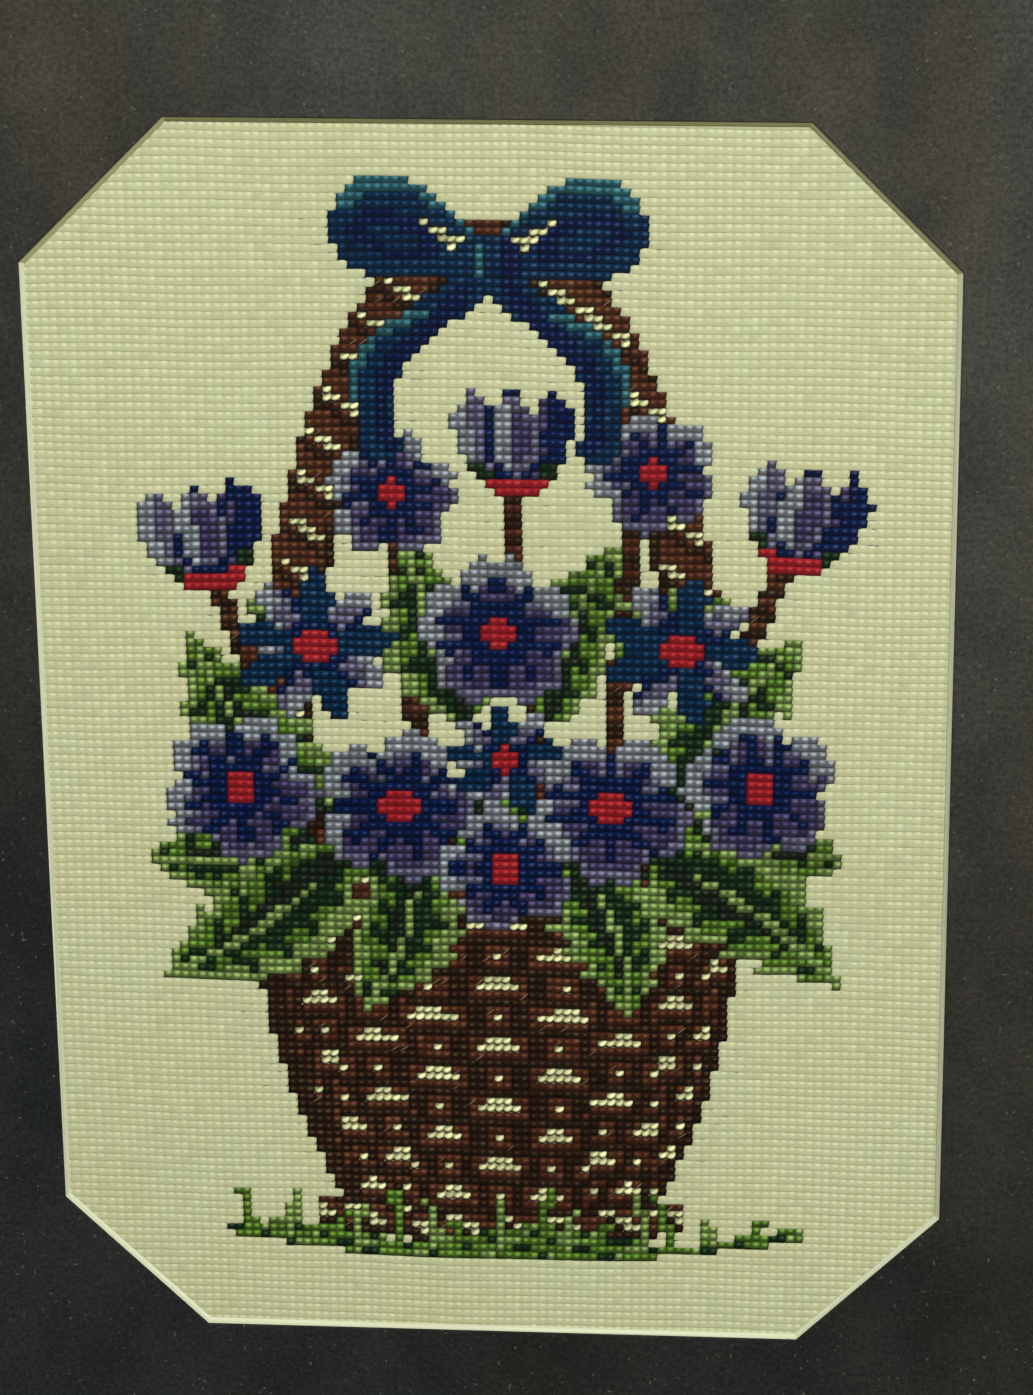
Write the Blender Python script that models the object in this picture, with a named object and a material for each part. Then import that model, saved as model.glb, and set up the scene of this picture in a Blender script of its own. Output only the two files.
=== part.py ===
"""A framed needlepoint tapestry, lying on its back with its face up.

Metres, +Z up out of the face, +Y to the top of the picture, +X to its right.
The origin is at the middle of the frame's back, on the surface that it lies on.
From back to front: backing board, needlepoint, window mat, glass, and the frame's lip over them.
"""

import math

import bmesh
import bpy

# The needlepoint: one tent stitch to each mesh of the canvas
STITCH_WIDTH = 0.00254
ROW_HEIGHT = 0.002432
STITCHES_ACROSS = 103
ROWS_DOWN = 154
STITCHES_UNDER_MAT = 3
CLOTH_THICK = 0.0024
ROW_GROOVE = 0.0006
CANVAS_THICK = 0.0008
BARE_CANVAS = 0.012

# The window mat: an octagonal window with a bevelled edge
WINDOW_WIDTH = STITCHES_ACROSS * STITCH_WIDTH
WINDOW_HEIGHT = ROWS_DOWN * ROW_HEIGHT
WINDOW_CORNER = 0.042
BEVEL_RUN = 0.0018
MAT_THICK = 0.0014
MAT_BORDER = 0.060
MAT_WIDTH = WINDOW_WIDTH + 2 * MAT_BORDER
MAT_HEIGHT = WINDOW_HEIGHT + 2 * MAT_BORDER

# What lies before and behind it
GLASS_THICK = 0.002
BACKING_THICK = 0.003
BACKING_RECESS = 0.003

# The frame: four mitred rails with a rabbet behind the lip
RAIL_WIDTH = 0.022
RAIL_EDGE_HEIGHT = 0.0150
RAIL_CROWN = 0.0030
RABBET_WIDTH = 0.006
PANEL_CLEARANCE = 0.0009
SEAM = 0.0003
CROWN_STEPS = 12

OUTER_WIDTH = MAT_WIDTH + 2 * (PANEL_CLEARANCE + RAIL_WIDTH - RABBET_WIDTH)
OUTER_HEIGHT = MAT_HEIGHT + 2 * (PANEL_CLEARANCE + RAIL_WIDTH - RABBET_WIDTH)

# The stack's heights, each layer a seam above the one behind it
BACKING_Z = BACKING_RECESS
CLOTH_Z = BACKING_Z + BACKING_THICK + SEAM
MAT_Z = CLOTH_Z + CLOTH_THICK + SEAM
GLASS_Z = MAT_Z + MAT_THICK + SEAM
LIP_Z = GLASS_Z + GLASS_THICK + SEAM

MM = 0.001


def clear_scene():
    for old in list(bpy.data.objects):
        bpy.data.objects.remove(old)


def material(name, colour, roughness, alpha=1.0):
    made = bpy.data.materials.new(name)
    made.use_nodes = True
    shader = made.node_tree.nodes["Principled BSDF"]
    shader.inputs["Base Color"].default_value = (*colour, 1.0)
    shader.inputs["Roughness"].default_value = roughness
    shader.inputs["Metallic"].default_value = 0.0
    shader.inputs["Alpha"].default_value = alpha
    return made


def node(name, mesh_builder, finish, parent, place=(0, 0, 0), turn=0.0):
    """One named object from a bmesh, placed under the frame's empty."""
    mesh = bpy.data.meshes.new(name)
    bmesh.ops.recalc_face_normals(mesh_builder, faces=mesh_builder.faces)
    mesh_builder.to_mesh(mesh)
    mesh_builder.free()
    mesh.materials.append(finish)
    obj = bpy.data.objects.new(name, mesh)
    obj.location = place
    obj.rotation_euler = (0, 0, turn)
    obj.parent = parent
    bpy.context.scene.collection.objects.link(obj)
    return obj


def slab(width, height, thick):
    """A flat sheet whose back lies at z = 0, centred in x and y."""
    bm = bmesh.new()
    bmesh.ops.create_cube(bm, size=1.0)
    bmesh.ops.translate(bm, vec=(0, 0, 0.5), verts=bm.verts)
    bmesh.ops.scale(bm, vec=(width, height, thick), verts=bm.verts)
    return bm


def loft(first, second):
    """A closed solid between two rings of the same number of points."""
    bm = bmesh.new()
    rings = [[bm.verts.new(point) for point in ring] for ring in (first, second)]
    for ring in rings:
        bm.faces.new(ring)
    count = len(first)
    for i in range(count):
        j = (i + 1) % count
        bm.faces.new((rings[0][i], rings[0][j], rings[1][j], rings[1][i]))
    return bm


def octagon(inset, z):
    """The window's outline, drawn in by inset on all eight sides."""
    x = WINDOW_WIDTH / 2 - inset
    y = WINDOW_HEIGHT / 2 - inset
    corner = WINDOW_CORNER - inset * (2 - math.sqrt(2))
    return [
        (x - corner, y, z), (x, y - corner, z), (x, corner - y, z), (x - corner, -y, z),
        (corner - x, -y, z), (-x, corner - y, z), (-x, y - corner, z), (corner - x, y, z),
    ]


def window_mat(finish, core, parent):
    """The mat board, cut through by a tapered octagon so that the window's edge is bevelled."""
    mat = node("window_mat", slab(MAT_WIDTH, MAT_HEIGHT, MAT_THICK), finish, parent, (0, 0, MAT_Z))
    over = 1 * MM
    slope = BEVEL_RUN / MAT_THICK
    low = octagon(BEVEL_RUN + over * slope, -over)
    high = octagon(-over * slope, MAT_THICK + over)
    cutter = node("window_cutter", loft(low, high), core, parent, (0, 0, MAT_Z))
    cutter.hide_render = True
    cutter.display_type = "WIRE"
    mat.data.materials.append(core)
    cut = mat.modifiers.new("window", "BOOLEAN")
    cut.operation = "DIFFERENCE"
    cut.solver = "EXACT"
    cut.object = cutter
    return mat


def ribbed_profile():
    """The stitched cloth in section, from its back up and over one rib to each row of stitches."""
    rows = ROWS_DOWN + 2 * STITCHES_UNDER_MAT
    half = rows * ROW_HEIGHT / 2
    rib = (0.0, 0.72, 1.0, 0.72)
    valley = CLOTH_THICK - ROW_GROOVE
    outline = [(-half, 0.0), (half, 0.0)]
    for row in range(rows):
        for step, rise in enumerate(rib):
            y = half - (row + step / len(rib)) * ROW_HEIGHT
            outline.append((y, valley + rise * ROW_GROOVE))
    outline.append((-half, valley))
    return outline


def needlepoint(wool, parent):
    """The cloth: wool rows over the canvas, and a margin of bare canvas round them."""
    half = (STITCHES_ACROSS / 2 + STITCHES_UNDER_MAT) * STITCH_WIDTH
    section = ribbed_profile()
    rows = loft([(-half, y, z) for y, z in section], [(half, y, z) for y, z in section])
    cloth = node("needlepoint", rows, wool, parent, (0, 0, CLOTH_Z))
    width = 2 * (half + BARE_CANVAS)
    height = 2 * (-section[0][0] + BARE_CANVAS)
    canvas = node("canvas_margin", slab(width, height, CANVAS_THICK), wool, parent, (0, 0, CLOTH_Z))
    canvas.hide_render = True
    canvas.display_type = "WIRE"
    join = cloth.modifiers.new("canvas", "BOOLEAN")
    join.operation = "UNION"
    join.solver = "EXACT"
    join.object = canvas
    return cloth


def rail_profile():
    """A rail in section: distance in from the frame's outer edge, and height."""
    wall = RAIL_WIDTH - RABBET_WIDTH
    outline = [(0.0, 0.0), (wall, 0.0), (wall, LIP_Z), (RAIL_WIDTH, LIP_Z)]
    for step in range(CROWN_STEPS + 1):
        share = step / CROWN_STEPS
        rise = RAIL_CROWN * math.sin(math.pi * share) ** 0.8
        outline.append((RAIL_WIDTH * (1 - share), RAIL_EDGE_HEIGHT + rise))
    return outline


def rail(name, length, reach, turn, wood, parent):
    """One mitred rail along its own x axis, its outer edge facing -y before it is turned."""
    seam = SEAM / math.sqrt(2)
    ends = [
        [(side * (length / 2 - inward - seam), inward - reach, z) for inward, z in rail_profile()]
        for side in (-1, 1)
    ]
    return node(name, loft(*ends), wood, parent, turn=turn)


def frame_rails(wood, parent):
    quarter = math.pi / 2
    for name, length, reach, turn in (
        ("rail_bottom", OUTER_WIDTH, OUTER_HEIGHT / 2, 0 * quarter),
        ("rail_right", OUTER_HEIGHT, OUTER_WIDTH / 2, 1 * quarter),
        ("rail_top", OUTER_WIDTH, OUTER_HEIGHT / 2, 2 * quarter),
        ("rail_left", OUTER_HEIGHT, OUTER_WIDTH / 2, 3 * quarter),
    ):
        rail(name, length, reach, turn, wood, parent)


def main():
    clear_scene()
    parent = bpy.data.objects.new("framed_tapestry", None)
    bpy.context.scene.collection.objects.link(parent)
    wool = material("wool", (0.56, 0.55, 0.33), 0.85)
    board = material("mat_board", (0.045, 0.040, 0.034), 0.75)
    core = material("mat_core", (0.62, 0.62, 0.47), 0.8)
    hardboard = material("hardboard", (0.16, 0.09, 0.045), 0.7)
    wood = material("frame_wood", (0.060, 0.030, 0.016), 0.45)
    glazing = material("glazing", (0.95, 0.97, 0.96), 0.05, alpha=0.1)
    frame_rails(wood, parent)
    node("backing_board", slab(MAT_WIDTH, MAT_HEIGHT, BACKING_THICK), hardboard, parent, (0, 0, BACKING_Z))
    needlepoint(wool, parent)
    window_mat(board, core, parent)
    node("glass", slab(MAT_WIDTH, MAT_HEIGHT, GLASS_THICK), glazing, parent, (0, 0, GLASS_Z))


main()
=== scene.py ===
"""The looks of a framed needlepoint tapestry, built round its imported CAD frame.

It lies on its back: +Z out of the picture's face, +Y to the top of the picture, +X to its right.
The rows of stitches are ribs of wool, drawn in at the seams from stitch to stitch, over a sheet of canvas.
"""

import math

import bpy
import numpy as np
from mathutils import Matrix, Vector


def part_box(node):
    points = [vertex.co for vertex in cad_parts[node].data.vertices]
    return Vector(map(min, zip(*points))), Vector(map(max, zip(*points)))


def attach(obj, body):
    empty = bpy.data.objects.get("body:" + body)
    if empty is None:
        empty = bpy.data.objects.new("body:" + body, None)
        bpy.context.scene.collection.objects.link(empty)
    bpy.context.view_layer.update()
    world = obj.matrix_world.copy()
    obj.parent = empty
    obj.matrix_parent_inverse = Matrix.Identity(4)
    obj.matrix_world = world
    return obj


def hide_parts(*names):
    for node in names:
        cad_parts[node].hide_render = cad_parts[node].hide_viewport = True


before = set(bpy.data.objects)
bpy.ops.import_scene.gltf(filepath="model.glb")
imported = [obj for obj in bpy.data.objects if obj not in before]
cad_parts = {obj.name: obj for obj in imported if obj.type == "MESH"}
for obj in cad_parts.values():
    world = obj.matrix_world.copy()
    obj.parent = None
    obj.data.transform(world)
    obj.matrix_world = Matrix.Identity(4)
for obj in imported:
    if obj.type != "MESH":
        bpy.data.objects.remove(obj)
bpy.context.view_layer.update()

MM = 0.001

# The canvas: one stitch to each of its meshes, and some more of them on each side, hidden under the mat
STITCH_WIDTH = 2.54 * MM
STITCHES_ACROSS = 103
STITCHES_DOWN = 154
UNDER_MAT = 3
COLUMNS = STITCHES_ACROSS + 2 * UNDER_MAT
ROWS = STITCHES_DOWN + 2 * UNDER_MAT
ROW_HEIGHT = 2.432 * MM

CLOTH_LOW, CLOTH_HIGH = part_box("needlepoint")
MAT_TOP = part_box("window_mat")[1].z
CANVAS_THICK = 0.8 * MM
CANVAS_TOP = CLOTH_LOW.z + CANVAS_THICK
CANVAS_SWELL = 0.08 * MM
MAT_PAPER_THICK = 0.38 * MM

RNG = np.random.default_rng(7)


# Camera, floor and light

# The lens and its sensor in millimetres, and the rest in metres, as the mat's window shows in the photo
LENS = 121.47
SENSOR_WIDTH = 36.0
CAMERA_PLACE = (0.10565, 0.50961, MAT_TOP + 1.24277)
CAMERA_AHEAD = (-0.0738, -0.3666, -0.9274)
CAMERA_UP = (-0.0183, 0.9303, -0.3663)
FLOOR_REACH = 3.0


def make_camera():
    """The photo's camera: a long lens, a little above the picture's top and to its right."""
    data = bpy.data.cameras.new("camera")
    data.lens = LENS
    data.sensor_width = SENSOR_WIDTH
    data.clip_start = 0.05
    camera = bpy.data.objects.new("camera", data)
    camera.location = CAMERA_PLACE
    ahead = Vector(CAMERA_AHEAD).normalized()
    up = Vector(CAMERA_UP)
    right = ahead.cross(up).normalized()
    up = right.cross(ahead)
    turn = Matrix((right, up, -ahead)).transposed()
    camera.rotation_euler = turn.to_euler()
    bpy.context.scene.collection.objects.link(camera)
    bpy.context.scene.camera = camera


def make_floor():
    """A plain pale floor under the tapestry."""
    corners = [(x * FLOOR_REACH, y * FLOOR_REACH, 0) for x, y in ((-1, -1), (1, -1), (1, 1), (-1, 1))]
    mesh = bpy.data.meshes.new("floor")
    mesh.from_pydata(corners, [], [(0, 1, 2, 3)])
    floor = bpy.data.objects.new("floor", mesh)
    bpy.context.scene.collection.objects.link(floor)
    paint = bpy.data.materials.new("pale_floor")
    paint.use_nodes = True
    shader = paint.node_tree.nodes["Principled BSDF"]
    shader.inputs["Base Color"].default_value = (0.62, 0.61, 0.59, 1)
    shader.inputs["Roughness"].default_value = 0.9
    mesh.materials.append(paint)


def soft_light(name, place, size, power, colour):
    """A round lamp, turned to the tapestry and kept out of its glass."""
    data = bpy.data.lights.new(name, "AREA")
    data.shape = "DISK"
    data.size = size
    data.energy = power
    data.color = colour
    lamp = bpy.data.objects.new(name, data)
    lamp.location = place
    lamp.rotation_euler = Vector(place).to_track_quat("Z", "Y").to_euler()
    lamp.visible_glossy = False
    bpy.context.scene.collection.objects.link(lamp)


def set_stops(ramp, stops):
    """Gives a colour ramp node its stops, each a place and a colour."""
    for i, (at, colour) in enumerate(stops):
        stop = ramp.color_ramp.elements[i] if i < 2 else ramp.color_ramp.elements.new(at)
        stop.position = at
        stop.color = (*colour, 1)


def make_lights():
    """A soft key from beyond the picture's top, low enough to pick out each stitch, and a weak fill."""
    soft_light("key", (0.87, 2.60, 2.90), size=0.95, power=268, colour=(1.0, 0.99, 0.95))
    soft_light("fill", (-1.3, -1.4, 2.0), size=1.6, power=1.5, colour=(1.0, 0.93, 0.72))
    world = bpy.data.worlds.new("studio")
    world.use_nodes = True
    tree = world.node_tree
    background = tree.nodes["Background"]
    coords = tree.nodes.new("ShaderNodeTexCoord")
    towards = tree.nodes.new("ShaderNodeVectorMath")
    towards.operation = "DOT_PRODUCT"
    towards.inputs[1].default_value = Vector((0.25, 0.75, 0.61)).normalized()
    ramp = tree.nodes.new("ShaderNodeValToRGB")
    set_stops(ramp, (
        (0.0, (0.03, 0.027, 0.018)), (0.10, (0.02, 0.022, 0.020)), (0.26, (0.04, 0.036, 0.03)),
        (0.38, (0.10, 0.09, 0.07)), (0.60, (0.07, 0.065, 0.048)), (1.0, (0.26, 0.26, 0.24)),
    ))
    tree.links.new(coords.outputs["Generated"], towards.inputs[0])
    tree.links.new(towards.outputs["Value"], ramp.inputs["Fac"])
    tree.links.new(ramp.outputs["Color"], background.inputs["Color"])
    bpy.context.scene.world = world
    bpy.context.scene.view_settings.view_transform = "Standard"


# Materials

class Surface:
    """A material's nodes, joined up by short calls."""

    def __init__(self, name, roughness, **constants):
        self.material = bpy.data.materials.new(name)
        self.material.use_nodes = True
        self.tree = self.material.node_tree
        self.shader = self.tree.nodes["Principled BSDF"]
        self.shader.inputs["Roughness"].default_value = roughness
        for socket, value in constants.items():
            self.shader.inputs[socket.replace("_", " ")].default_value = value

    def node(self, kind, **settings):
        made = self.tree.nodes.new("ShaderNode" + kind)
        for key, value in settings.items():
            setattr(made, key, value)
        return made

    def join(self, source, target):
        self.tree.links.new(source, target)

    def place(self, scale=(1, 1, 1)):
        """Object coordinates in metres, stretched by scale."""
        coords = self.node("TexCoord")
        mapping = self.node("Mapping")
        mapping.inputs["Scale"].default_value = scale
        self.join(coords.outputs["Object"], mapping.inputs["Vector"])
        return mapping.outputs["Vector"]

    def noise(self, vector, scale, detail=3.0, roughness=0.55, distortion=0.0):
        made = self.node("TexNoise")
        made.inputs["Scale"].default_value = scale
        made.inputs["Detail"].default_value = detail
        made.inputs["Roughness"].default_value = roughness
        made.inputs["Distortion"].default_value = distortion
        self.join(vector, made.inputs["Vector"])
        return made.outputs["Fac"]

    def spread(self, value, low, high, to_low=0.0, to_high=1.0):
        """A value from one range spread over another."""
        made = self.node("MapRange")
        ends = {"From Min": low, "From Max": high, "To Min": to_low, "To Max": to_high}
        for socket, number in ends.items():
            made.inputs[socket].default_value = number
        self.join(value, made.inputs["Value"])
        return made.outputs["Result"]

    def blend(self, share, first, second, how="MIX"):
        """Two colours mixed by a share; each colour is a socket or three numbers."""
        made = self.node("Mix", data_type="RGBA", blend_type=how)
        if isinstance(share, float):
            made.inputs[0].default_value = share
        else:
            self.join(share, made.inputs[0])
        for socket, colour in ((made.inputs[6], first), (made.inputs[7], second)):
            if isinstance(colour, tuple):
                socket.default_value = (*colour, 1)
            else:
                self.join(colour, socket)
        return made.outputs[2]

    def ramp(self, value, stops):
        made = self.node("ValToRGB")
        set_stops(made, stops)
        self.join(value, made.inputs["Fac"])
        return made.outputs["Color"]

    def maths(self, how, first, second):
        made = self.node("Math", operation=how)
        for socket, value in zip(made.inputs, (first, second)):
            if isinstance(value, (int, float)):
                socket.default_value = value
            else:
                self.join(value, socket)
        return made.outputs[0]

    def colour(self, socket):
        self.join(socket, self.shader.inputs["Base Color"])

    def relief(self, height, depth, strength=1.0):
        """Fine relief, as deep as given in metres, over the shape."""
        made = self.node("Bump")
        made.inputs["Strength"].default_value = strength
        made.inputs["Distance"].default_value = depth
        self.join(height, made.inputs["Height"])
        self.join(made.outputs["Normal"], self.shader.inputs["Normal"])


def tuned(colour, factor):
    """A colour made lighter or darker."""
    return tuple(min(1.0, part * factor) for part in colour)


def wool_material(name, colour, warmer, darkest, lightest, painted_highlight, relief, sheen):
    """Twisted wool with fibres that run along it, darker in its seams by painted shade and paler on top by a
    painted highlight, as its shade attribute says.
    """
    wool = Surface("wool_" + name, 0.5, Specular_IOR_Level=sheen)
    yarn = wool.node("UVMap", uv_map="yarn")
    shade = wool.node("Attribute", attribute_name="shade")
    warmth = wool.node("Attribute", attribute_name="warmth")
    fibres = wool.node("Mapping")
    fibres.inputs["Scale"].default_value = (1.3, 8.0, 1.0)
    wool.join(yarn.outputs["UV"], fibres.inputs["Vector"])
    strands = wool.noise(fibres.outputs["Vector"], 2.0, 2.0, 0.7)
    # The ramp runs from painted shade at shade 0, through the wool's own colour, to a painted highlight at
    # shade 1: the wool lightened and greyed where its tops catch the light.
    pale = tuple(part + more for part, more in zip(tuned(colour, lightest), painted_highlight))
    base = wool.ramp(shade.outputs["Fac"], ((0.0, tuned(colour, darkest)), (0.6, colour), (1.0, pale)))
    base = wool.blend(warmth.outputs["Fac"], base, warmer, "MULTIPLY")
    between = wool.spread(strands, 0.40, 0.62, 0.0, 0.3 * (lightest - darkest))
    base = wool.blend(between, base, tuned(colour, 0.55))
    wool.colour(base)
    wool.relief(strands, relief * MM)
    return wool.material


def canvas_material():
    """Cotton canvas, a plain weave of stiff pale threads."""
    canvas = Surface("cotton_canvas", 0.9, Specular_IOR_Level=0.2)
    where = canvas.place()
    threads = []
    for direction, pitch in (("X", STITCH_WIDTH), ("Y", ROW_HEIGHT)):
        wave = canvas.node("TexWave", wave_type="BANDS", bands_direction=direction)
        wave.inputs["Scale"].default_value = math.pi / 10 / pitch
        canvas.join(where, wave.inputs["Vector"])
        threads.append(wave.outputs["Fac"])
    weave = canvas.maths("MAXIMUM", threads[0], threads[1])
    mottle = canvas.noise(where, 900.0, 3.0)
    base = canvas.blend(canvas.spread(weave, 0.2, 0.9), (0.26, 0.24, 0.13), (0.52, 0.49, 0.30))
    canvas.colour(canvas.blend(canvas.spread(mottle, 0.3, 0.7, 0.0, 0.4), base, (0.42, 0.39, 0.22)))
    canvas.relief(canvas.maths("ADD", weave, mottle), 0.25 * MM)
    return canvas.material


def mat_material():
    """Dark brown suede-like board; wherever it is cut, its cream core shows, and its back is pale paper."""
    board = Surface("mat_board", 0.85, Specular_IOR_Level=0.25)
    where = board.place()
    axes = board.node("SeparateXYZ")
    board.join(where, axes.inputs["Vector"])
    # Painted reflection: the face goes from dim at the foot and left to bright towards the top and right,
    # standing in for the glass's reflection.
    toward_reflection = board.maths("ADD", axes.outputs["Y"], board.maths("MULTIPLY", axes.outputs["X"], 0.5))
    dim, bright = (0.0255, 0.0282, 0.0288), (0.0640, 0.0650, 0.0610)
    face = board.blend(board.spread(toward_reflection, -0.12, 0.18), dim, bright)
    warm = board.noise(board.place((9, 4, 9)), 1.0, 3.0, 0.6)
    face = board.blend(board.spread(warm, 0.42, 0.62, 0.0, 0.7), face, (1.18, 0.97, 0.78), "MULTIPLY")
    clouds = board.noise(board.place((1.0, 0.7, 1.0)), 30.0, 4.0, 0.58)
    face = board.blend(board.spread(clouds, 0.38, 0.60), face, (0.66, 0.70, 0.74), "MULTIPLY")
    nap = board.noise(where, 760.0, 3.0, 0.7)
    face = board.blend(board.spread(nap, 0.36, 0.64, 1.0, 0.0), face, (0.52, 0.52, 0.52), "MULTIPLY")
    specks = board.noise(where, 700.0, 1.0, 0.5)
    face = board.blend(board.spread(specks, 0.70, 0.80, 0.0, 0.55), face, (0.1500, 0.1450, 0.1250))
    layers = board.noise(board.place((8, 8, 1500)), 1.0, 3.0)
    core = board.blend(board.spread(layers, 0.3, 0.7), (0.43, 0.435, 0.31), (0.60, 0.615, 0.48))
    geometry = board.node("NewGeometry")
    parts = board.node("SeparateXYZ")
    board.join(geometry.outputs["True Normal"], parts.inputs["Vector"])
    # Painted shade: the cut core is darker and more olive where it faces the picture's foot, away from the
    # key light.
    shaded_toward_foot = board.spread(parts.outputs["Y"], -0.55, 0.0, 1.0, 0.0)
    core = board.blend(shaded_toward_foot, core, (0.70, 0.68, 0.42), "MULTIPLY")
    below_paper = board.maths("LESS_THAN", axes.outputs["Z"], MAT_TOP - MAT_PAPER_THICK)
    cut = board.maths("MULTIPLY", board.maths("LESS_THAN", parts.outputs["Z"], 0.95), below_paper)
    board.colour(board.blend(cut, face, core))
    board.relief(nap, 0.12 * MM, 0.6)
    return board.material


def glass_material():
    """Clear glass: what lies behind shows through it, and it mirrors a little more at a grazing angle."""
    glass = bpy.data.materials.new("picture_glass")
    glass.use_nodes = True
    tree = glass.node_tree
    tree.nodes.remove(tree.nodes["Principled BSDF"])
    clear = tree.nodes.new("ShaderNodeBsdfTransparent")
    clear.inputs["Color"].default_value = (0.985, 0.995, 0.985, 1)
    mirror = tree.nodes.new("ShaderNodeBsdfGlossy")
    mirror.inputs["Roughness"].default_value = 0.03
    facing = tree.nodes.new("ShaderNodeLayerWeight")
    facing.inputs["Blend"].default_value = 0.5
    grazing = tree.nodes.new("ShaderNodeMath")
    grazing.operation = "POWER"
    grazing.inputs[1].default_value = 5.0
    share = tree.nodes.new("ShaderNodeMapRange")
    share.inputs["To Min"].default_value = 0.04
    mix = tree.nodes.new("ShaderNodeMixShader")
    tree.links.new(facing.outputs["Facing"], grazing.inputs[0])
    tree.links.new(grazing.outputs["Value"], share.inputs["Value"])
    tree.links.new(share.outputs["Result"], mix.inputs["Fac"])
    tree.links.new(clear.outputs["BSDF"], mix.inputs[1])
    tree.links.new(mirror.outputs["BSDF"], mix.inputs[2])
    tree.links.new(mix.outputs["Shader"], tree.nodes["Material Output"].inputs["Surface"])
    return glass


def wood_material(name, along):
    """Dark stained wood, its grain running along the rail."""
    wood = Surface("wood_" + name, 0.42, Specular_IOR_Level=0.45, Coat_Weight=0.15, Coat_Roughness=0.3)
    stretch = (3, 60, 60) if along == "X" else (60, 3, 60)
    grain = wood.noise(wood.place(stretch), 4.0, 6.0, 0.6, 0.6)
    pores = wood.noise(wood.place(tuple(4 * part for part in stretch)), 6.0, 3.0, 0.6)
    base = wood.blend(wood.spread(grain, 0.32, 0.68), (0.030, 0.015, 0.008), (0.105, 0.055, 0.030))
    base = wood.blend(wood.spread(pores, 0.56, 0.70, 0.0, 0.8), base, (0.012, 0.007, 0.004))
    wood.colour(base)
    wood.join(wood.spread(pores, 0.3, 0.7, 0.36, 0.62), wood.shader.inputs["Roughness"])
    wood.relief(wood.maths("ADD", grain, pores), 0.12 * MM, 0.5)
    return wood.material


def hardboard_material():
    """Brown hardboard, smooth and a little fibrous."""
    board = Surface("hardboard", 0.7, Specular_IOR_Level=0.3)
    where = board.place()
    flecks = board.noise(where, 260.0, 5.0, 0.7)
    clouds = board.noise(where, 12.0, 3.0)
    base = board.blend(board.spread(clouds, 0.3, 0.7), (0.135, 0.075, 0.036), (0.185, 0.105, 0.052))
    board.colour(board.blend(board.spread(flecks, 0.42, 0.62, 0.0, 0.7), base, (0.085, 0.045, 0.022)))
    board.relief(flecks, 0.10 * MM, 0.5)
    return board.material


# The chart: which wool each stitch has, in a motif made for this piece

WOOLS = {
    "cream": (0.500, 0.515, 0.325),
    "fleck": (0.720, 0.720, 0.410),
    "brown": (0.106, 0.033, 0.018),
    "dark_brown": (0.034, 0.016, 0.009),
    "navy": (0.002, 0.014, 0.090),
    "teal": (0.002, 0.031, 0.098),
    "sky": (0.034, 0.155, 0.210),
    "violet": (0.070, 0.058, 0.166),
    "lavender": (0.158, 0.150, 0.268),
    "lilac": (0.318, 0.350, 0.420),
    "red": (0.390, 0.016, 0.028),
    "leaf": (0.132, 0.268, 0.036),
    "sprig": (0.270, 0.405, 0.120),
    "moss": (0.010, 0.034, 0.014),
    "umber": (0.014, 0.025, 0.015),
    "tan": (0.300, 0.230, 0.130),
}
# How dark a wool's colour gets as painted shade between its stitches, and how light as a painted highlight
# on top of them; DEEP is for the rest
CONTRAST = {
    "cream": (0.74, 1.20), "fleck": (0.46, 1.30), "red": (0.50, 1.14), "lilac": (0.14, 1.72),
    "lavender": (0.12, 1.60), "violet": (0.14, 1.60), "leaf": (0.10, 1.58), "sprig": (0.12, 1.48),
}
DEEP = (0.24, 1.52)
CODES = {name: i for i, name in enumerate(WOOLS)}
U, V = np.meshgrid(np.arange(COLUMNS) - (COLUMNS - 1) / 2, (ROWS - 1) / 2 - np.arange(ROWS))
CHART = np.zeros((ROWS, COLUMNS), int)
CURVE_STEPS = 160


def paint(where, wool):
    """Gives the chosen stitches one wool."""
    CHART[where] = CODES[wool]


def turned(u, v, degrees):
    """Stitch coordinates about a point: along a direction, and to its left."""
    angle = math.radians(degrees)
    du, dv = U - u, V - v
    return du * math.cos(angle) + dv * math.sin(angle), dv * math.cos(angle) - du * math.sin(angle)


def stroke(points, half, wool, second=None, bands=0):
    """A line of wool along the Bezier curve that the points steer, banded with a second wool if given."""
    steps = np.linspace(0, 1, CURVE_STEPS)
    last = len(points) - 1
    t = steps[:, None]
    curve = sum(
        math.comb(last, i) * (t ** i) * ((1 - t) ** (last - i)) * np.array(point, float)
        for i, point in enumerate(points)
    )
    away = np.hypot(U[..., None] - curve[:, 0], V[..., None] - curve[:, 1])
    inside = away.min(-1) < half
    paint(inside, wool)
    if second:
        paint(inside & (np.floor(steps[away.argmin(-1)] * bands) % 2 == 0), second)


def leaf(u, v, degrees, length, width, teeth=6):
    """A pointed leaf with toothed edges, pale at its rim and dark along its vein."""
    along, side = turned(u, v, degrees)
    s = np.clip(along / length, 0, 1)
    side = side - 1.6 * np.sin(math.pi * s)
    half = width * np.sin(math.pi * s ** 0.72) ** 0.85 * (1.12 - 0.32 * ((s * teeth) % 1.0))
    body = (along > 0) & (along < length) & (np.abs(side) < half)
    share = side / np.maximum(half, 0.1)
    reach = np.abs(share)
    paint(body, "leaf")
    paint(body & ((share > 0.62) | (share < -0.72)), "sprig")
    core = body & (reach < 0.52 - 0.35 * s) & (s < 0.93)
    paint(core, "moss")
    paint(core & (share < 0.10) & (np.abs(side) < 3.2) & (s < 0.80), "umber")
    ribs = np.abs(((s * teeth + reach * 0.9) % 1.0) - 0.5) < 0.16
    paint(body & ribs & (reach > 0.25) & (reach < 0.7), "moss")
    paint(body & (np.abs(side) < 0.55) & (s > 0.2), "sprig")


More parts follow.
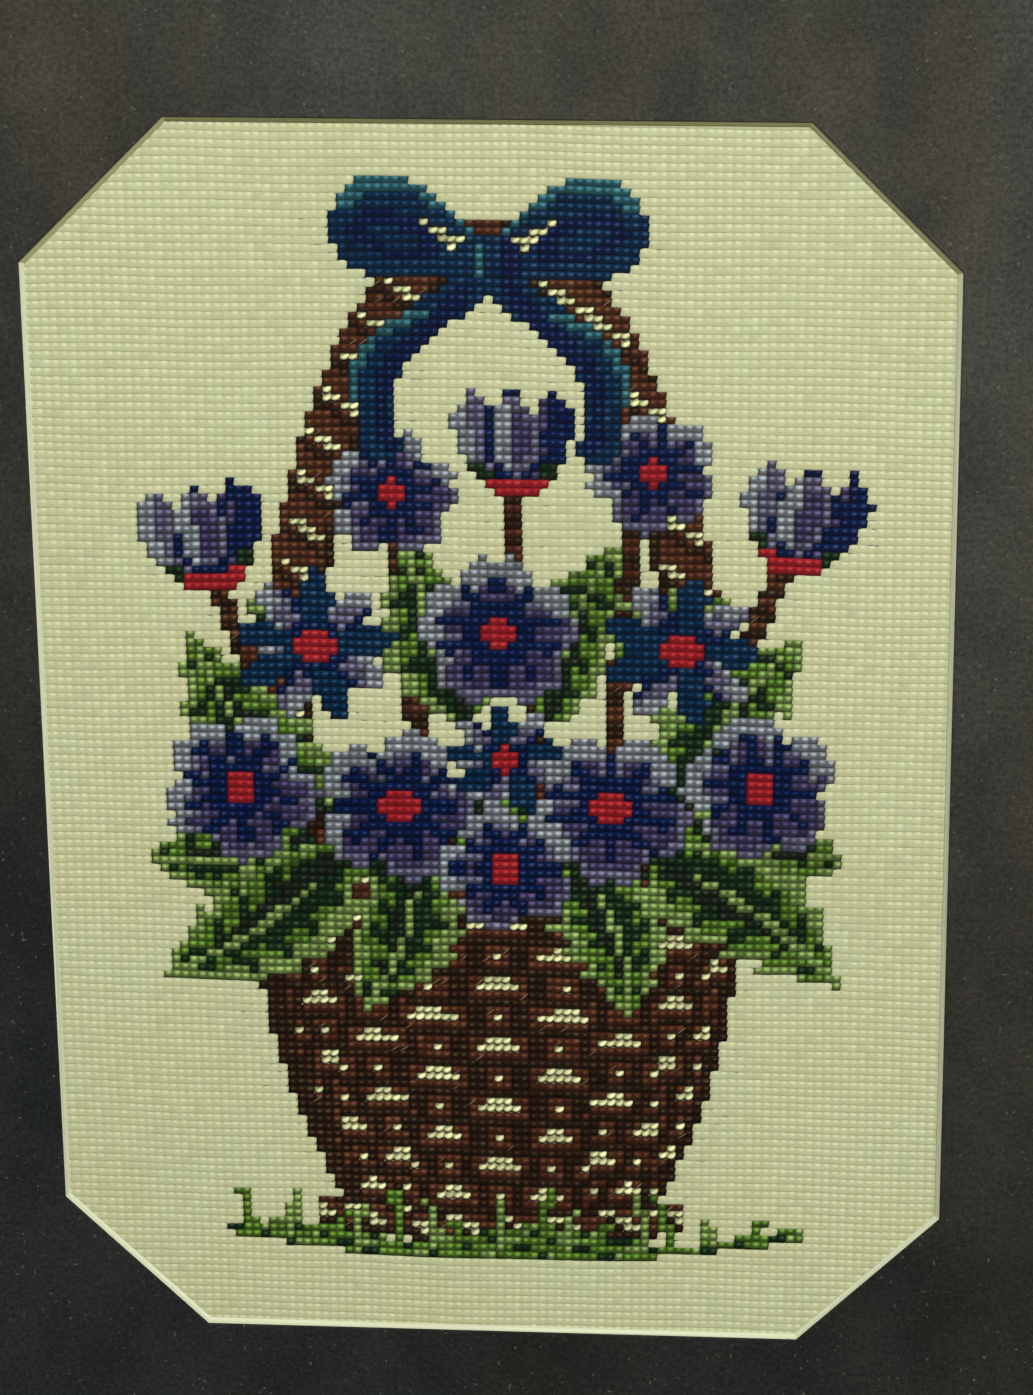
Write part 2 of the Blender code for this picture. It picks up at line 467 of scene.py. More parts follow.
def petal_angles(u, v, turn, petals):
    """Distance from a flower's heart, the angle, each stitch's petal, and its place across that petal."""
    du, dv = U - u, V - v
    away = np.hypot(du, dv * ROW_HEIGHT / STITCH_WIDTH)
    angle = np.degrees(np.arctan2(dv, du))
    step = 360 / petals
    petal = np.floor((angle - turn) / step + 0.5)
    across = (angle - turn - petal * step) / (step / 2)
    return away, angle, petal, across


def round_flower(u, v, size, turn, petals=5):
    """Broad round petals, lit from the upper left, about a red heart."""
    away, angle, _, across = petal_angles(u, v, turn, petals)
    edge = size * (0.70 + 0.30 * np.cos(across * math.pi / 2) ** 0.7) - 0.7 * (np.abs(across) < 0.13)
    share = away / edge
    body = share < 1
    lit = np.cos(np.radians(angle - 115))
    paint(body, "lavender")
    paint(body & (share > 0.70) & (lit > -0.35), "lilac")
    paint(body & (share < 0.66) & (np.abs(across) < 0.55), "violet")
    paint(body & (lit < -0.2) & (share < 0.84), "violet")
    paint(body & (np.abs(across) > 0.80) & (share < 0.93), "navy")
    paint(body & (share < 0.44), "navy")
    paint(body & (np.abs(across) < 0.17) & (share < 0.78), "navy")
    paint(away < size * 0.22, "red")


def star_flower(u, v, size, turn, petals=9):
    """Narrow pointed petals, dark and pale by turns, about a red heart."""
    away, _, petal, across = petal_angles(u, v, turn, petals)
    edge = size * (0.52 + 0.48 * (1 - np.abs(across)) ** 0.55)
    share = away / edge
    body = share < 1
    dark = petal % 2 == 0
    paint(body, "navy")
    paint(body & dark & (share > 0.30), "teal")
    paint(body & ~dark & (share > 0.42) & (across > -0.5), "lavender")
    paint(body & ~dark & (share > 0.72) & (across > -0.3), "lilac")
    paint(away < size * 0.24, "red")


def cup_flower(u, v, degrees, size):
    """A cup of pointed petals seen from the side, opening along a direction from its red base."""
    along, side = turned(u, v, degrees)
    length = size * 1.9
    s = np.clip(along / length, 0, 1)
    half = size * (0.10 + 0.84 * np.sin(math.pi * np.clip(s * 0.62 + 0.06, 0, 1)) ** 0.8)
    share = side / np.maximum(half, 0.1)
    teeth = np.abs(((share * 1.5 + 0.5) % 1.0) - 0.5) * 2
    body = (along > 0) & (np.abs(share) < 1) & (along < length * (0.98 - 0.24 * teeth))
    paint(body, "violet")
    paint(body & (share > 0.30), "lavender")
    paint(body & (share > 0.72), "lilac")
    paint(body & (share < -0.56), "navy")
    front = ((along - 0.52 * length) / (0.42 * length)) ** 2 + (side / (0.46 * size)) ** 2
    paint(body & (front < 1.0), "navy")
    paint(body & (front < 0.66), "lavender")
    paint(body & (front < 0.66) & (side > 0.6), "lilac")
    paint(body & (front < 0.30) & (side < 0.6), "violet")
    paint(body & (s < 0.30) & (np.abs(share) > 0.62), "moss")
    paint(body & (s < 0.15), "red")


# The basket and its handle, in stitches from the middle of the chart
BASKET_RIM = -18.0
BASKET_FOOT = -60.0
WICKER_STAKES = 11
WICKER_COURSE = 4
HANDLE_TOP = 62.0
HANDLE_HALF = 25.0
HANDLE_FOOT = BASKET_RIM - 2


def basket():
    """Wicker: courses that pass over and under the stakes, with a twisted rim and foot."""
    level = np.round(V - 0.0042 * U ** 2 + 1.5)
    down = (BASKET_RIM - level) / (BASKET_RIM - BASKET_FOOT)
    half = 28.0 - 9.5 * down + 2.6 * np.sin(math.pi * np.clip(down, 0, 1))
    body = (down > 0) & (down < 1) & (np.abs(U) < half)
    around = np.arcsin(np.clip(U / np.maximum(half, 1), -1, 1)) / math.pi * 2
    place = (around + 1) * WICKER_STAKES / 2
    stake = np.floor(place)
    across = place % 1.0
    line = (-level) % WICKER_COURSE
    over = (stake + np.floor(-level / WICKER_COURSE)) % 2 == 0
    paint(body, "brown")
    middle = np.abs(across - 0.5)
    paint(body & (line == 3), "dark_brown")
    paint(body & ~over & (middle > 0.24), "dark_brown")
    paint(body & over & (line == 1) & (middle < 0.38), "fleck")
    paint(body & over & (line == 0) & (middle < 0.20), "fleck")
    paint(body & ~over & (line == 1) & (middle < 0.08), "fleck")
    paint(body & ((U < -half + 2.6) | (U > half - 1.3)), "dark_brown")
    for top, thick, reach in ((BASKET_RIM + 3, 6.0, 31.0), (BASKET_FOOT + 1, 5.0, 21.5)):
        ring = (level < top) & (level > top - thick) & (np.abs(U) < reach)
        twist = (U + 1.3 * level) % 6.0
        paint(ring, "brown")
        paint(ring & (level > top - thick + 1.3) & (twist < 1.9), "fleck")
        paint(ring & (twist > 4.9), "dark_brown")
        paint(ring & (level < top - thick + 1.3), "dark_brown")


def handle():
    """A tall arched handle of twisted cane."""
    rise = HANDLE_TOP - HANDLE_FOOT
    du, dv = U / HANDLE_HALF, (V - HANDLE_FOOT) / rise
    up = np.clip(dv, 0, None)
    away = np.hypot(du, up)
    slope = np.hypot(du / HANDLE_HALF, up / rise) / np.maximum(away, 1e-6)
    side = (away - 1) / np.maximum(slope, 1e-6)
    body = (dv > 0) & (np.abs(side) < 3.3)
    twist = (V * 1.05 + U * 0.75) % 6.4
    paint(body, "brown")
    paint(body & (twist < 1.5) & (np.abs(side) < 2.7), "fleck")
    paint(body & (twist > 4.7) & (twist < 5.9), "dark_brown")
    paint(body & (side < -2.2), "dark_brown")


def bow(u, v):
    """A plain ribbon bow with two loops and two tails."""
    for side in (-1, 1):
        for wool, half, steers in (
            ("teal", 2.1, ((0, 0), (5, -8), (16, -10), (12, -22))),
            ("navy", 0.9, ((0, 0), (5, -9), (15.4, -11.4), (11, -22))),
            ("sky", 0.6, ((7, -6.6), (16, -8.4), (14.6, -17))),
        ):
            stroke([(u + side * across, v + up) for across, up in steers], half, wool)
        along, off = turned(u, v, 90 - side * 70)
        off = off * side
        loop = ((along - 9.0) / 9.2) ** 2 + (off / (3.4 + 0.24 * along)) ** 2
        hollow = ((along - 10.4) / 5.2) ** 2 + ((off + 1.0) / 2.6) ** 2
        body = (along > 0) & (loop < 1)
        paint(body, "teal")
        paint(body & (loop > 0.60) & (off > 0.4) & (along > 3), "sky")
        paint(body & (np.abs(off - 0.16 * along) < 0.8) & (along > 2) & (along < 9), "fleck")
        paint(body & (hollow < 1), "navy")
        paint(body & (hollow < 0.35) & (off < 0), "teal")
    du, dv = np.abs(U - u), np.abs(V - v)
    knot = (du < 3.2) & (dv < 3.2) & (du + dv < 5.2)
    paint(knot, "teal")
    paint(knot & (U - u > 1.2), "navy")
    paint(knot & (np.abs(U - u + 1) < 0.8) & (dv < 2.4), "sky")


def grass():
    """Rough grass under the basket."""
    body = (V < -63.6 + 1.2 * np.sin(U * 0.21 + 0.6)) & (V > -67.5 + 0.0030 * U ** 2) & (np.abs(U) < 36)
    paint(body, "leaf")
    paint(body & ((U * 0.7 + V * 2.0) % 5 < 1.6), "moss")
    paint(body & ((U * 0.9 - V * 1.4) % 7 < 1.2), "sprig")
    for blade in range(-7, 8):
        foot = blade * 4.1 + 0.9 * math.sin(blade * 2.1)
        tall = 4.5 + 2.2 * math.sin(blade * 1.7)
        tip = foot + 1.6 * math.sin(blade)
        wool = "leaf" if blade % 2 else "sprig"
        stroke([(foot, -65), (foot, -64 + tall * 0.5), (tip, -64.5 + tall)], 0.6, wool)


def foliage():
    """Small dark leaves massed behind the flowers over the rim."""
    body = (U / 27) ** 2 + ((V + 11) / 8.5) ** 2 < 1
    paint(body, "moss")
    paint(body & ((U * 1.1 + V * 0.8) % 5 < 1.9), "leaf")
    paint(body & ((U * 0.8 - V * 1.1) % 6 < 1.1), "umber")


def draw_chart():
    """The whole motif, from what lies behind to what lies in front."""
    handle()
    foliage()
    for points in (
        [(-18, -14), (-27, 2), (-26, 12), (-32, 22)],
        [(18, -14), (25, 4), (28, 14), (33, 25)],
        [(4, -14), (6, 10), (1, 22), (3, 34)],
        [(-6, -12), (-9, 6), (-12, 18), (-10, 29)],
        [(12, -14), (14, 4), (14, 20), (17, 33)],
    ):
        stroke(points, 1.15, "brown", "dark_brown", 26)
    for u, v, degrees, length, width in (
        (-20, -8, 122, 27, 6.6), (20, -8, 58, 27, 6.6), (-3, 4, 104, 24, 5.8), (6, 4, 70, 24, 5.2),
        (-14, 10, 146, 16, 4.8), (14, 10, 36, 16, 4.8),
    ):
        leaf(u, v, degrees, length, width)
    basket()
    grass()
    for u, v, degrees, length, width in (
        (-24, -12, 186, 16, 6.0), (24, -12, 354, 16, 6.0), (-9, -14, 252, 21, 6.4), (9, -14, 288, 21, 6.4),
        (-17, -13, 218, 27, 7.4), (18, -13, 322, 27, 7.4),
    ):
        leaf(u, v, degrees, length, width)
    cup_flower(-31, 20, 100, 7.5)
    cup_flower(33, 23, 78, 7.5)
    cup_flower(3, 32, 92, 7.2)
    round_flower(-11, 32, 7.6, 12)
    round_flower(18, 35, 7.4, 40)
    star_flower(-20, 13, 9.4, 8)
    star_flower(21, 13, 9.4, 0)
    round_flower(0.5, 15, 9.4, 18)
    round_flower(-29, -5, 9.2, 60)
    round_flower(30, -4, 9.2, 30)
    round_flower(-11, -7, 9.6, 0)
    round_flower(13, -7, 9.6, 54)
    round_flower(1, -15, 8.2, 36)
    star_flower(1, -1, 7.0, 14)
    bow(0, 60)


# The stitches

# The ground is made in bands, so that no piece has too many triangles
GROUND_BANDS = 4
# Dark wools carried on between the rows, how many stitches beyond their own they show, and how often
CARRIED_WOOLS = ("dark_brown", "navy", "teal", "moss")
CARRIED_REACH = 3
CARRIED_SHARE = 0.16
# How many of the brown stitches a pale fibre crosses
FIBRE_SHARE = 0.07


def drift(x, y):
    """How far the rows and columns wander from a true grid, smoothly, in metres."""
    along = 0.30 * np.sin(x * 31 + 1.1) * np.cos(y * 17 + 0.4) + 0.22 * np.sin(x * 12 - y * 43 + 2.0)
    up = 0.32 * np.sin(x * 23 + y * 11 + 0.7) + 0.20 * np.sin(x * 57 - y * 29)
    up += 0.12 * np.sin(x * 131 + y * 71)
    return along * MM, up * MM


def grid_place(rows, columns):
    """Where stitches would be on a true grid, given by row and column."""
    return (columns - (COLUMNS - 1) / 2) * STITCH_WIDTH, ((ROWS - 1) / 2 - rows) * ROW_HEIGHT


def runs(wool, top, bottom):
    """Each run of one wool's stitches: its row, its first column and the column after its last."""
    for row in range(top, bottom):
        marks = np.flatnonzero(np.diff(np.concatenate([[0], CHART[row] == CODES[wool], [0]])))
        for first, end in marks.reshape(-1, 2):
            yield row, first, end


class Lay:
    """How a loose stitch or a fibre lies over its mesh of the canvas. Lengths are in millimetres.

    It reaches so far across and up from its middle, and dives from its crown to its ends.
    """

    def __init__(
        self, reach, half_width, half_thick, crown, dive, stations, around, fullness, roundness, edge_shade,
    ):
        self.reach = np.array(reach)
        self.half_width = half_width
        self.half_thick = half_thick
        self.crown = crown
        self.dive = dive
        self.stations = np.array(stations)
        self.around = np.radians(around)
        self.fullness = fullness
        self.roundness = roundness
        self.edge_shade = edge_shade


FLECK = Lay(
    reach=(1.33, 0.58), half_width=0.81, half_thick=0.86, crown=1.88, dive=0.80,
    stations=(0.07, 0.27, 0.50, 0.73, 0.93), around=(-15, 40, 90, 140, 195, 270),
    fullness=0.40, roundness=0.50, edge_shade=0.60,
)
CARRIED = Lay(
    reach=(1.10, 0.05), half_width=0.17, half_thick=0.14, crown=1.60, dive=0.05,
    stations=(0.15, 0.50, 0.85), around=(-20, 90, 200),
    fullness=0.40, roundness=0.40, edge_shade=0.10,
)
FIBRE = Lay(
    reach=(1.45, 1.15), half_width=0.13, half_thick=0.12, crown=1.96, dive=0.50,
    stations=(0.10, 0.37, 0.63, 0.90), around=(-20, 90, 200),
    fullness=0.40, roundness=0.40, edge_shade=0.10,
)


def stitch_arrays(rows, columns, lay):
    """Points, quads, triangles, yarn coordinates and painted shade of one closed lump for each stitch."""
    count = len(rows)
    x, y = grid_place(rows, columns)
    dx, dy = drift(x, y)
    loose = RNG.normal(0, 1, (count, 7))
    x = x + dx + loose[:, 0] * 0.05 * MM
    y = y + dy + loose[:, 1] * 0.05 * MM
    swell = 1 + 0.06 * loose[:, 2]
    lift = 1 + 0.07 * loose[:, 3]
    lean = lay.reach[None, :] * (1 + 0.05 * loose[:, 4:6]) * MM
    length = np.hypot(lean[:, 0], lean[:, 1])
    ahead = lean / length[:, None]
    t = lay.stations[None, :, None]
    arch = 1 - np.abs(2 * t - 1) ** 2.4
    body = np.sin(math.pi * t) ** lay.fullness
    angle = lay.around[None, None, :]
    wide = lay.half_width * swell[:, None, None] * body * np.cos(angle) * MM
    plump = np.sin(math.pi * t) ** lay.roundness
    high = lay.half_thick * plump * np.sin(angle) * lift[:, None, None] * MM
    run = (2 * t - 1) * length[:, None, None] + 0 * wide
    middle = (lay.crown - lay.half_thick - lay.dive * (1 - arch)) * MM
    ring_x = x[:, None, None] + run * ahead[:, 0, None, None] - wide * ahead[:, 1, None, None]
    ring_y = y[:, None, None] + run * ahead[:, 1, None, None] + wide * ahead[:, 0, None, None]
    rings = np.stack([ring_x, ring_y, CANVAS_TOP + middle + high + 0 * ring_x], -1)
    tip_z = np.full(count, CANVAS_TOP + (lay.crown - lay.half_thick - lay.dive * 1.15) * MM)
    tips = [np.stack([x + end * lean[:, 0], y + end * lean[:, 1], tip_z], -1) for end in (-1, 1)]
    n_rings, n_around = len(lay.stations), len(lay.around)
    each = n_rings * n_around + 2
    points = np.concatenate([rings.reshape(count, -1, 3), tips[0][:, None], tips[1][:, None]], 1)
    here = np.arange(n_around)
    there = (here + 1) % n_around
    first = np.stack([here, there, there + n_around, here + n_around], -1)
    quads = np.concatenate([first + ring * n_around for ring in range(n_rings - 1)])
    last = (n_rings - 1) * n_around
    fans = np.concatenate([
        np.stack([np.full(n_around, each - 2), there, here], -1),
        np.stack([np.full(n_around, each - 1), last + here, last + there], -1),
    ])
    start = (np.arange(count) * each)[:, None, None]
    quads = (quads[None] + start).reshape(-1, 4)
    fans = (fans[None] + start).reshape(-1, 3)
    shift = RNG.uniform(0, 40, count)
    yarn_u = np.broadcast_to(2 * t * length[:, None, None] / MM, rings.shape[:3]).reshape(count, -1)
    yarn_v = np.broadcast_to(angle / (2 * math.pi) * 4, rings.shape[:3]).reshape(count, -1)
    ends_u = np.stack([0 * length, 2 * length / MM], -1)
    yarn = np.stack([
        np.concatenate([yarn_u, ends_u], 1) + shift[:, None],
        np.concatenate([yarn_v, 0 * ends_u + 1], 1) + shift[:, None],
    ], -1)
    own = 0.16 * loose[:, 6] + 0.10 * np.sin(rows * 1.7 + columns * 0.05)
    # Painted shade: each lump is darker along its sides, its underside and its tips than on its crown, by
    # its lay's edge_shade.
    painted_edge_shade = 0.62 - lay.edge_shade * (1 - np.clip(np.sin(angle), 0, 1)) * (0.6 + 0.4 * (2 * t - 1) ** 2)
    painted_edge_shade = np.broadcast_to(painted_edge_shade, (1, n_rings, n_around)).reshape(1, -1)
    tips_shade = np.full((1, 2), 0.62 - lay.edge_shade)
    shade = np.clip(np.concatenate([painted_edge_shade, tips_shade], 1) + own[:, None], 0, 1)
    return points.reshape(-1, 3), quads, fans, yarn.reshape(-1, 2), shade.ravel()


# The yarn laid along a row: its section, its reach past the run's ends, and the stitches to each step
LAID_SECTION = np.array(((-1.35, 0.06), (-0.60, 0.24), (0.60, 0.24), (1.35, 0.06))) * MM
LAID_REACH = 0.06
LAID_STEP = 4


def laid_arrays(wool):
    """The yarn laid along each row of one wool, under its stitches, all in its darkest colour as painted
    shade.
    """
    points, quads, count = [np.zeros((0, 3))], [np.zeros((0, 4), int)], 0
    sides = len(LAID_SECTION)
    here = np.arange(sides)
    there = (here + 1) % sides
    for row, first, end in runs(wool, 0, ROWS):
        steps = max(1, int((end - first) / LAID_STEP)) + 3
        columns = np.linspace(first - 0.1, end - 0.9, steps - 2)
        columns = np.concatenate([[first - 0.5 - LAID_REACH], columns, [end - 0.5 + LAID_REACH]])
        x, y = grid_place(row, columns)
        dx, dy = drift(x, y)
        ring = np.zeros((steps, sides, 3))
        ring[..., 0] = (x + dx)[:, None]
        ring[..., 1] = (y + dy)[:, None] + LAID_SECTION[None, :, 0]
        ring[..., 2] = CANVAS_TOP + LAID_SECTION[None, :, 1]
        points.append(ring.reshape(-1, 3))
        for step in range(steps - 1):
            low, high = count + step * sides, count + (step + 1) * sides
            quads.append(np.stack([low + there, low + here, high + here, high + there], -1))
        last = count + (steps - 1) * sides
        quads.append(np.array([count + here, last + here[::-1]]))
        count += steps * sides
    points = np.concatenate(points)
    # Painted shade: the laid yarn's shade is zero throughout, so it takes its wool's darkest colour, as the
    # gaps between the stitches above it would be in shade.
    return points, np.concatenate(quads), np.zeros((0, 3), int), points[:, :2] / MM, np.zeros(len(points))


class Rib:
    """How a row of stitches lies at some lines along it, from its foot side to its top side, in millimetres.

    A line has its height, how far a seam draws it in, its painted shade, how pale each stitch's painted
    highlight is there, and how much painted shade a seam adds. A stitch has steps along the row, each with
    its pinch, from 1 at a seam to 0.
    """

    def __init__(
        self, side, height, seam_drop, shade, painted_spot, seam_shade, steps, pinch,
        lean, uneven, end_drop, end_taper,
    ):
        self.side = np.array(side) * MM
        self.height = np.array(height) * MM
        self.seam_drop = np.array(seam_drop) * MM
        self.shade = np.array(shade)
        self.painted_spot = np.array(painted_spot)
        self.seam_shade = np.array(seam_shade)
        self.steps = np.array(steps)
        self.pinch = np.array(pinch)
        self.lean = lean
        self.uneven = uneven
        self.end_drop = end_drop * MM
        self.end_taper = end_taper


# In these ribs the shade values are painted shade, darker at each row's foot side, edges and seams, and the
# spot values paint a highlight on the upper side of each stitch.
GROUND_RIB = Rib(
    side=(-1.38, -1.12, -0.84, 0.22, 0.66, 1.04, 1.36),
    height=(1.38, 1.53, 1.60, 1.63, 1.66, 1.59, 1.42),
    seam_drop=(0.0, 0.02, 0.03, 0.06, 0.25, 0.18, 0.0),
    shade=(0.38, 0.46, 0.59, 0.59, 0.61, 0.54, 0.38),
    painted_spot=(0.0, 0.0, 0.0, 0.0, 0.56, 0.12, 0.0),
    seam_shade=(0.2, 0.2, 0.14, 0.20, 0.50, 0.46, 0.2),
    steps=(0.0, 0.36, 0.62), pinch=(1.0, 0.0, 0.0), lean=0.16, uneven=0.02, end_drop=0.20, end_taper=0.80,
)
MOTIF_RIB = Rib(
    side=(-1.40, -1.10, -0.66, -0.10, 0.36, 0.74, 1.06, 1.38),
    height=(0.62, 0.98, 1.26, 1.42, 1.68, 1.88, 1.66, 0.90),
    seam_drop=(0.0, 0.05, 0.10, 0.18, 0.44, 0.62, 0.52, 0.0),
    shade=(0.0, 0.05, 0.16, 0.27, 0.42, 0.56, 0.32, 0.0),
    painted_spot=(0.0, 0.0, 0.0, 0.04, 0.50, 0.82, 0.34, 0.0),
    seam_shade=(0.2, 0.3, 0.35, 0.45, 0.92, 1.0, 0.92, 0.2),
    steps=(0.0, 0.24, 0.50, 0.76), pinch=(1.0, 0.48, 0.0, 0.48), lean=0.16, uneven=0.05,
    end_drop=0.20, end_taper=0.84,
)


def rib_arrays(wool, rib, top, bottom):
    """One wool's rows from top to bottom: a rib for each run of stitches, drawn in at the seams."""
    points, quads, fans, shades, count = [], [], [], [], 0
    sides, per = len(rib.side), len(rib.steps)
    here = np.arange(sides - 1)
    raised = rib.height > rib.height.min() * 1.05
    for row, first, end in runs(wool, top, bottom):
        step = np.arange(per * (end - first) + 1)
        seam = step % per == 0
        pinch = rib.pinch[step % per][:, None]
        loose = np.repeat(RNG.normal(0, 1, (end - first + 1, 5)), per, axis=0)[:len(step)]
        loose[seam, :4] = 0
        half = np.where(step % per == 1, -1, 1) * ~seam
        x, y = grid_place(row, first - 0.5 + step // per + rib.steps[step % per])
        dx, dy = drift(x, y)
        side = rib.side[None] * (1 + 0.015 * loose[:, :1])
        side[[0, -1]] *= rib.end_taper
        high = rib.height[None] - rib.seam_drop[None] * pinch + 0 * side
        high += (rib.uneven * (loose[:, 1] + 0.8 * loose[:, 2] * half))[:, None] * raised * MM
        high[[0, -1]] -= rib.end_drop * raised
        ring = np.stack([
            (x + dx)[:, None] + rib.lean * side, (y + dy + 0.04 * loose[:, 3] * MM)[:, None] + side,
            CANVAS_TOP + high,
        ], -1)
        points.append(ring.reshape(-1, 3))
        # Painted shade and painted highlight: each line's shade darkens towards the seams, and a pale spot
        # is painted on each stitch, stronger in some places than others.
        painted_spot = 0.75 + 0.35 * np.sin(x * 41 + 0.6) * np.cos(y * 33 + 1.2) + 0.25 * loose[:, 4]
        shade = rib.shade[None] * (1 - rib.seam_shade[None] * pinch)
        shade = shade + rib.painted_spot[None] * painted_spot[:, None] * (1 - pinch)
        shades.append(np.clip(shade + 0.05 * loose[:, 4:], 0, 1).ravel())
        low = count + step[:-1, None] * sides + here
        quads.append(np.stack([low + 1, low, low + sides, low + sides + 1], -1).reshape(-1, 4))
        last = count + step[-1] * sides
        fans.append(np.stack([count + 0 * here[1:], count + here[1:], count + here[1:] + 1], -1))
        fans.append(np.stack([last + 0 * here[1:], last + here[1:] + 1, last + here[1:]], -1))
        count += len(step) * sides
    points = np.concatenate(points)
    yarn = points[:, :2] @ np.array(((1.0, -rib.lean), (rib.lean, 1.0))) / MM
    return points, np.concatenate(quads), np.concatenate(fans), yarn, np.concatenate(shades)


def warmth(points):
    """Where the wool is a touch warmer, in soft patches, from 0 to 1."""
    x, y = points[:, 0], points[:, 1]
    slow = np.sin(x * 63 + y * 21 + 0.4) * np.cos(y * 83 - x * 35 + 1.9)
    quick = np.sin(x * 331 + 1.0 + 2.0 * np.sin(y * 157)) * np.sin(y * 293 + 2.1 * np.sin(x * 139 + 0.6))
    return np.clip(0.5 + 0.32 * slow + 0.30 * quick, 0, 1)


def joined_mesh(name, points, quads, fans, yarn=None, shade=None):
    """A mesh from arrays of points, quads and triangles, smooth shaded."""
    mesh = bpy.data.meshes.new(name)
    mesh.vertices.add(len(points))
    mesh.vertices.foreach_set("co", points.astype(np.float32).ravel())
    corners = np.concatenate([quads.ravel(), fans.ravel()]).astype(np.int32)
    sizes = np.concatenate([np.full(len(quads), 4), np.full(len(fans), 3)])
    mesh.loops.add(len(corners))
    mesh.loops.foreach_set("vertex_index", corners)
    mesh.polygons.add(len(sizes))
    mesh.polygons.foreach_set("loop_start", np.concatenate([[0], np.cumsum(sizes)[:-1]]).astype(np.int32))
    mesh.polygons.foreach_set("use_smooth", np.ones(len(sizes), bool))
    mesh.update(calc_edges=True)
    if yarn is not None:
        layer = mesh.uv_layers.new(name="yarn")
        layer.data.foreach_set("uv", yarn[corners].astype(np.float32).ravel())
        for title, values in (("shade", shade), ("warmth", warmth(points))):
            layer = mesh.attributes.new(title, "FLOAT", "POINT")
            layer.data.foreach_set("value", values.astype(np.float32))
    return mesh


def piece(name, mesh, material):
    """One visible piece, fixed to the tapestry."""
    made = bpy.data.objects.new(name, mesh)
    bpy.context.scene.collection.objects.link(made)
    mesh.materials.append(material)
    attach(made, "root")
    return made


def merged(*parts):
    """Several sets of points, quads, triangles, yarn coordinates and shades as one."""
    starts = np.cumsum([0] + [len(part[0]) for part in parts])
    return (
        np.concatenate([part[0] for part in parts]),
        np.concatenate([part[1] + start for part, start in zip(parts, starts)]),
        np.concatenate([part[2] + start for part, start in zip(parts, starts)]),
        np.concatenate([part[3] for part in parts]),
        np.concatenate([part[4] for part in parts]),
    )


def carried(wool):
    """Where a wool that was carried on between the rows shows in the ground beside its own stitches."""
    own = CHART == CODES[wool]
    near = np.zeros_like(own)
    for step in range(1, CARRIED_REACH + 1):
        near[:, step:] |= own[:, :-step]
        near[:, :-step] |= own[:, step:]
    rows, columns = np.nonzero(near & (CHART == CODES["cream"]) & (RNG.random(CHART.shape) < CARRIED_SHARE))
    return stitch_arrays(rows + 0.5, columns + RNG.uniform(-0.4, 0.4, len(rows)), CARRIED)


def stray_fibres():
    """Pale fibres that cross the brown wool."""
    rows, columns = np.nonzero((CHART == CODES["brown"]) & (RNG.random(CHART.shape) < FIBRE_SHARE))
    return stitch_arrays(rows + 0.1, columns + RNG.uniform(-0.3, 0.3, len(rows)), FIBRE)


def motif_arrays(wool):
    """All that one wool makes in the motif: its stitches and what was laid under them or carried on."""
    if wool == "tan":
        return stray_fibres()
    if wool == "fleck":
        rows, columns = np.nonzero(CHART == CODES[wool])
        return merged(stitch_arrays(rows, columns, FLECK), laid_arrays(wool))
    parts = [rib_arrays(wool, MOTIF_RIB, 0, ROWS)]
    if wool in CARRIED_WOOLS:
        parts.append(carried(wool))
    return merged(*parts)


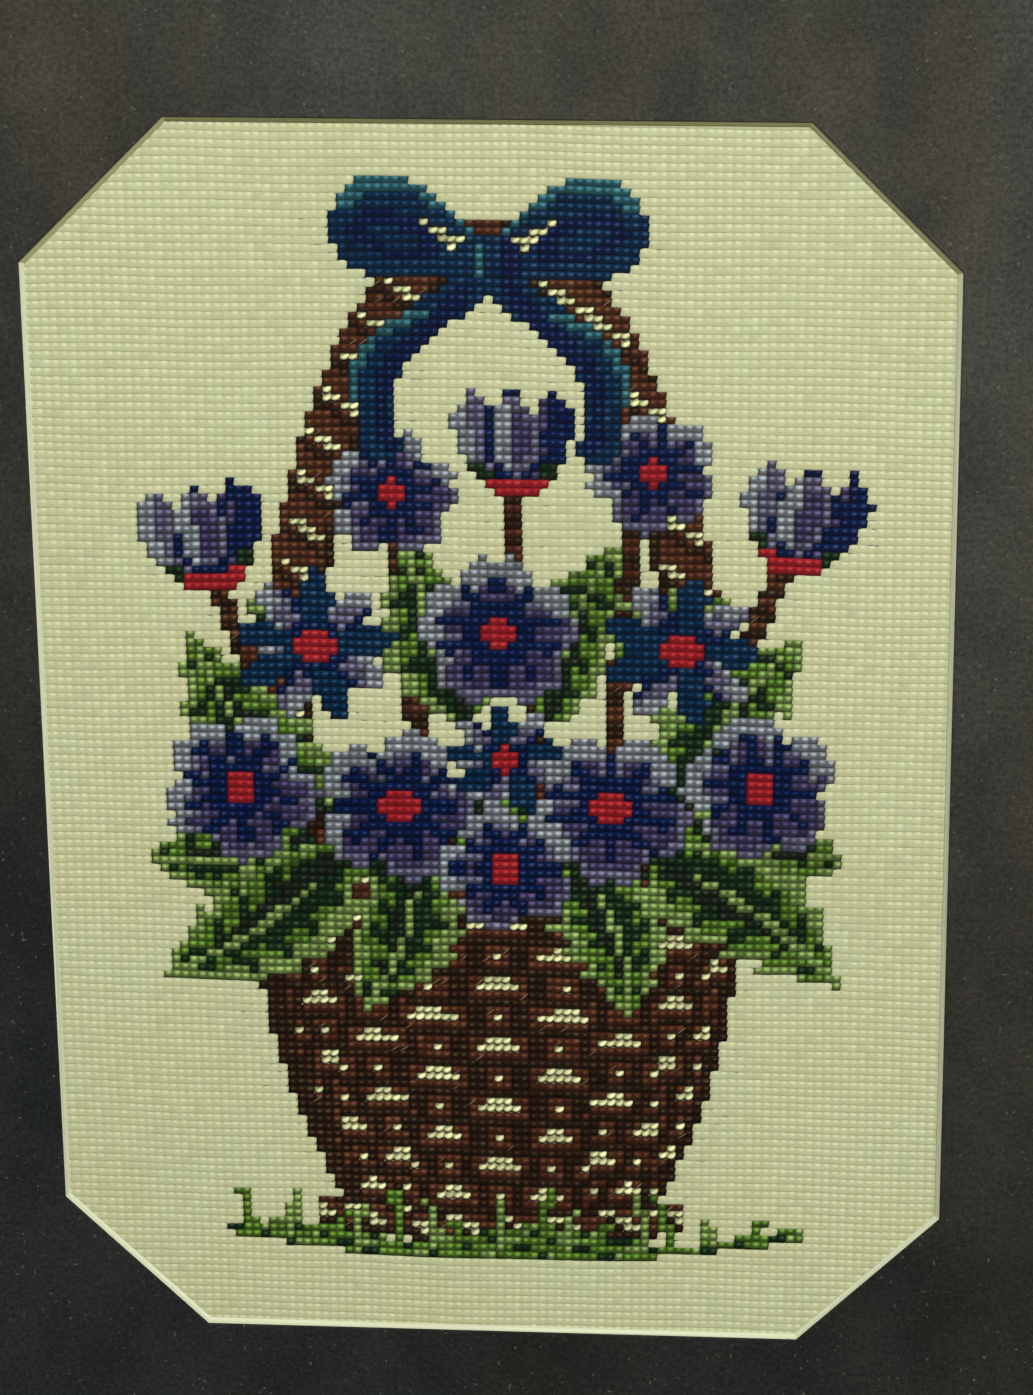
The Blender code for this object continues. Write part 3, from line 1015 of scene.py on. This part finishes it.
def make_stitches():
    """The ground's stitches in bands from the top down, and one piece for each wool of the motif."""
    pieces = []
    for wool, colour in WOOLS.items():
        # Each wool's colour is darkened by painted shade in its seams and paled by a painted highlight on
        # its tops.
        darkest, lightest = CONTRAST.get(wool, DEEP)
        if wool == "cream":
            material = wool_material(
                wool, colour, darkest=darkest, lightest=lightest,
                warmer=(1.02, 0.965, 0.93), painted_highlight=(0.04, 0.04, 0.06), relief=0.04, sheen=0.08,
            )
            for band in range(GROUND_BANDS):
                name = f"stitches_ground_{band + 1}"
                top, bottom = (ROWS * edge // GROUND_BANDS for edge in (band, band + 1))
                arrays = rib_arrays(wool, GROUND_RIB, top, bottom)
                pieces.append(piece(name, joined_mesh(name, *arrays), material))
        else:
            material = wool_material(
                wool, colour, darkest=darkest, lightest=lightest,
                warmer=(1.0, 0.96, 0.92), painted_highlight=(0.05, 0.05, 0.03), relief=0.12, sheen=0.10,
            )
            name = "stitches_" + wool
            pieces.append(piece(name, joined_mesh(name, *motif_arrays(wool)), material))
    return pieces


def make_canvas():
    """The canvas under the wool: a thin closed sheet that rises and falls a little along its threads."""
    width, height = CLOTH_HIGH.x - CLOTH_LOW.x, CLOTH_HIGH.y - CLOTH_LOW.y
    across, down = round(width / STITCH_WIDTH / 2), round(height / ROW_HEIGHT / 2)
    xs = np.linspace(CLOTH_LOW.x, CLOTH_HIGH.x, across + 1)
    ys = np.linspace(CLOTH_LOW.y, CLOTH_HIGH.y, down + 1)
    gx, gy = np.meshgrid(xs, ys)
    checker = (np.add.outer(np.arange(down + 1), np.arange(across + 1)) % 2) * CANVAS_SWELL
    top = np.stack([gx, gy, CANVAS_TOP - checker], -1).reshape(-1, 3)
    back = np.stack([gx, gy, CLOTH_LOW.z + checker], -1).reshape(-1, 3)
    wide = across + 1
    cell = (np.arange(down)[:, None] * wide + np.arange(across)[None, :]).ravel()
    face = np.stack([cell, cell + 1, cell + wide + 1, cell + wide], -1)
    under = face[:, ::-1] + len(top)
    rim = np.concatenate([
        np.arange(wide), np.arange(1, down + 1) * wide + across,
        down * wide + np.arange(across - 1, -1, -1), np.arange(down - 1, 0, -1) * wide,
    ])
    after = np.roll(rim, -1)
    edge = np.stack([rim + len(top), after + len(top), after, rim], -1)
    quads = np.concatenate([face, under, edge])
    mesh = joined_mesh("canvas", np.concatenate([top, back]), quads, np.zeros((0, 3), int))
    return piece("canvas", mesh, canvas_material())


def dress(node, material):
    """A CAD node whose shape is right gets its finish."""
    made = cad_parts[node]
    made.data.materials.clear()
    made.data.materials.append(material)


make_camera()
make_floor()
make_lights()
draw_chart()
stitches = make_stitches()
canvas = make_canvas()
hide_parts("needlepoint")
dress("window_mat", mat_material())
dress("glass", glass_material())
dress("backing_board", hardboard_material())
for side, along in (("bottom", "X"), ("right", "Y"), ("top", "X"), ("left", "Y")):
    dress("rail_" + side, wood_material(side, along))
